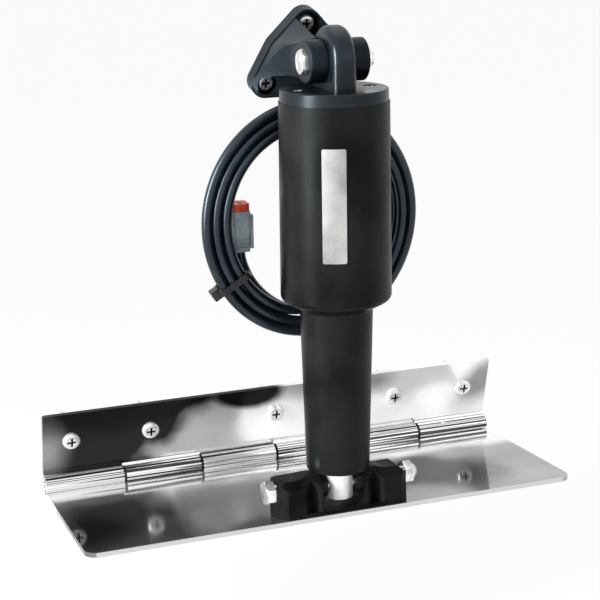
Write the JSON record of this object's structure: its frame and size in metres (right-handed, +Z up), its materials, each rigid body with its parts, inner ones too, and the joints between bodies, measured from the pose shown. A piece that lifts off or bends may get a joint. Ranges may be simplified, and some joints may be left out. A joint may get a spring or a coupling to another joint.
{
  "type": "boat trim tab",
  "caption": "Boat trim tab: a stainless hinged blade driven by an electric linear actuator on pivoting brackets, with a coiled supply cable and plug.",
  "frame": {"origin": "middle of the transom plate's back face, on the line of its screws", "axes": "+X along the hinge, +Y towards the boat, +Z up with the blade level; the transom plane leans 16.5 degrees, its lower edge nearer the boat"},
  "size_m": [0.3048, 0.1814, 0.2954],
  "materials": {
    "stainless_sheet": "polished stainless sheet",
    "screw_steel": "bright pan heads",
    "bolt_steel": "bright turned stainless",
    "ram_steel": "polished rod",
    "bracket_plastic": "matte black moulding",
    "bracket_plastic_blue": "satin black moulding",
    "housing_plastic": "fine matte black moulding",
    "cap_plastic": "satin black moulding",
    "white_plastic": "natural bearing plastic",
    "bronze": "turned bronze",
    "seal_rubber": "smooth rubber",
    "motor_steel": "plated can",
    "gearbox_metal": "die cast",
    "plate_silver": "bare satin foil",
    "cable_rubber": "smooth cable jacket",
    "tie_plastic": "nylon",
    "connector_grey": "moulded grey",
    "connector_orange": "moulded orange red"
  },
  "bodies": {
    "transom_leaf": {"transom_plate": "stainless_sheet", "transom_screws": "screw_steel", "hinge_pin": "bolt_steel"},
    "tab": {"tab_blade": "stainless_sheet", "lower_bracket": "bracket_plastic", "lower_bracket_screws": "screw_steel", "lower_pivot_bolt": "bolt_steel", "lower_pivot_nut": "bolt_steel", "lower_pivot_spacers": "white_plastic"},
    "ram": {"ram": "ram_steel", "ram_eye_bush": "bronze", "drive_nut": "bronze"},
    "actuator": {"actuator_housing": "housing_plastic", "top_cap": "cap_plastic", "cap_screws": "screw_steel", "cap_seal": "seal_rubber", "upper_eye_bush": "bronze", "name_plate": "plate_silver", "motor": "motor_steel", "gearbox": "gearbox_metal", "motor_cushion": "seal_rubber", "thrust_bearing": "bolt_steel", "guide_bush": "white_plastic", "wiper_seal": "seal_rubber", "cable_gland": "housing_plastic", "power_cable": "cable_rubber", "cable_coil": "cable_rubber", "cable_tail": "cable_rubber", "cable_tie": "tie_plastic", "connector_body": "connector_grey", "connector_wedge": "connector_orange", "connector_latch": "connector_grey"},
    "drive_screw": {"drive_screw": "bolt_steel", "screw_coupling": "gearbox_metal"},
    "upper_mount": {"upper_bracket": "bracket_plastic_blue", "upper_bracket_screws": "screw_steel", "upper_pivot_bolt": "bolt_steel", "upper_pivot_nut": "bolt_steel"}
  },
  "joints": [
    {"name": "tab_hinge", "type": "hinge", "parent": "transom_leaf", "child": "tab", "pos_m": [0, 0.00255, -0.02949], "axis": [1, 0, 0], "range_deg": [0, 30.5]},
    {"name": "ram_pivot", "type": "hinge", "parent": "tab", "child": "ram", "pos_m": [0.003, -0.10544, -0.01831], "axis": [1, 0, 0], "range_deg": [-29.54, 0]},
    {"name": "ram_slide", "type": "slide", "parent": "ram", "child": "actuator", "axis": [0, -0.0708, 0.9975], "range_m": [0, 0.05694]},
    {"name": "screw_spin", "type": "hinge", "parent": "actuator", "child": "drive_screw", "pos_m": [0.003, -0.1139, 0.10074], "axis": [0, -0.0708, 0.9975], "range_deg": [0, 4100]},
    {"name": "upper_pivot", "type": "hinge", "parent": "actuator", "child": "upper_mount", "pos_m": [0.003, -0.12307, 0.22992], "axis": [1, 0, 0], "range_deg": [-1, 0]}
  ],
  "couplings": [
    {"joint": "ram_pivot", "follows": "tab_hinge", "ratio": -0.9677},
    {"joint": "ram_slide", "follows": "tab_hinge", "m_per_rad": 0.10693},
    {"joint": "screw_spin", "follows": "tab_hinge", "ratio": 134.37},
    {"joint": "upper_pivot", "follows": "tab_hinge", "ratio": -0.0323}
  ]
}
